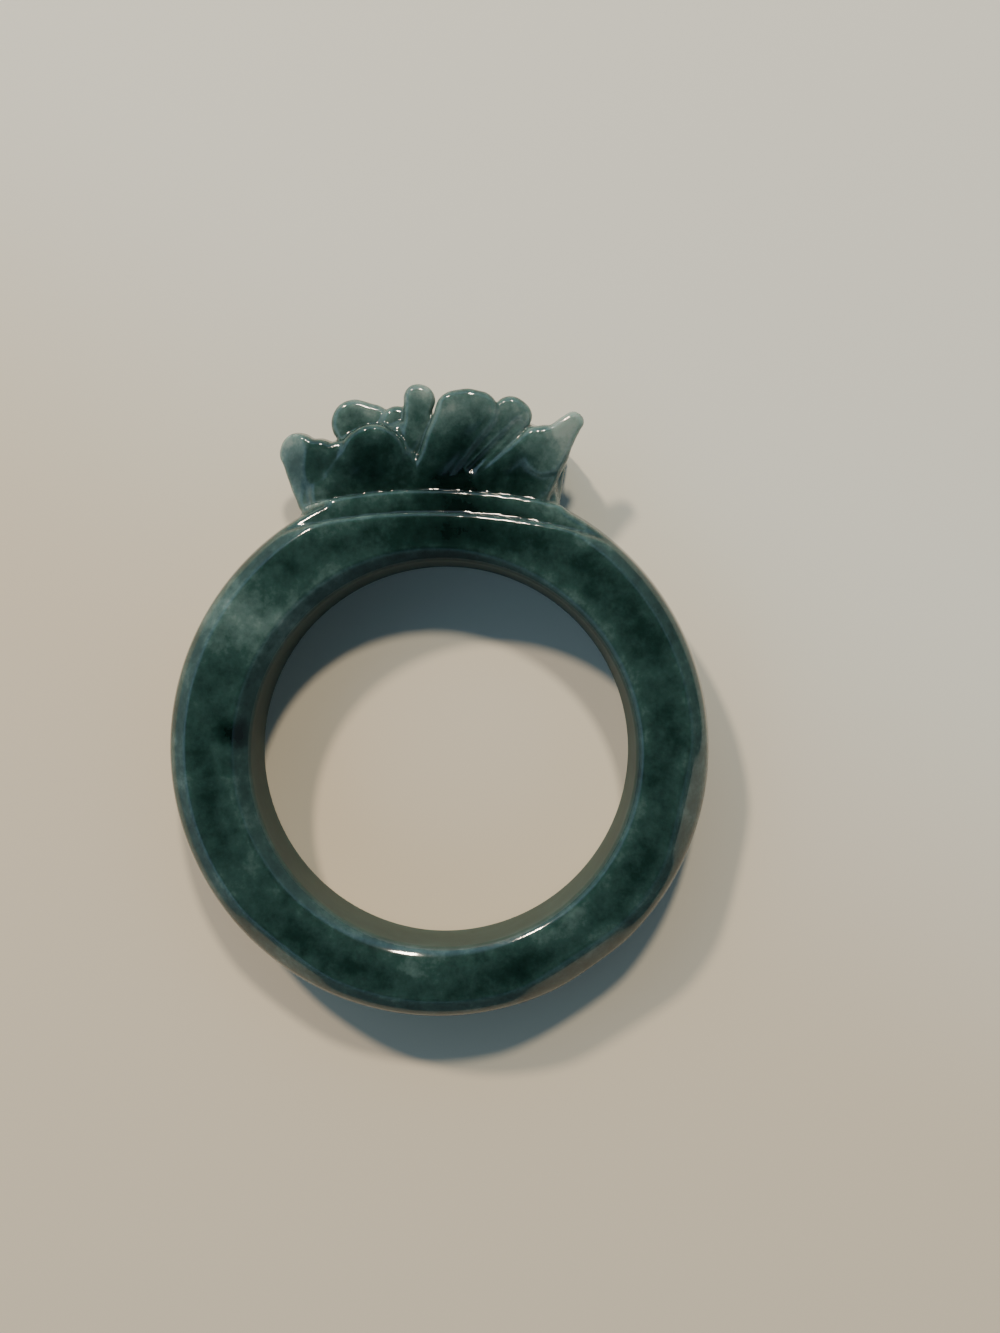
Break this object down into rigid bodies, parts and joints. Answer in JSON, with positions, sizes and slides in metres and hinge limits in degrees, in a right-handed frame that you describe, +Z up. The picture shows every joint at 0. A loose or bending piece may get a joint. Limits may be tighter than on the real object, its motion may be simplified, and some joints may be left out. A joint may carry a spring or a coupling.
{
  "type": "jade ring",
  "caption": "Finger ring carved from one dark green jade stone: a thick rounded band with a flower crest of overlapping petals. It lies flat on its side.",
  "frame": {"origin": "bottom centre of the box round the whole ring, on the surface that it lies on", "axes": "+Z up, along the finger hole's axis; +Y from the hole to the crest; +X to the right, across the band"},
  "size_m": [0.025, 0.0294, 0.0052],
  "materials": {
    "jade": "high hand polish, cloudy and slightly translucent"
  },
  "bodies": {
    "root": {"jade_ring": "jade"}
  },
  "joints": []
}
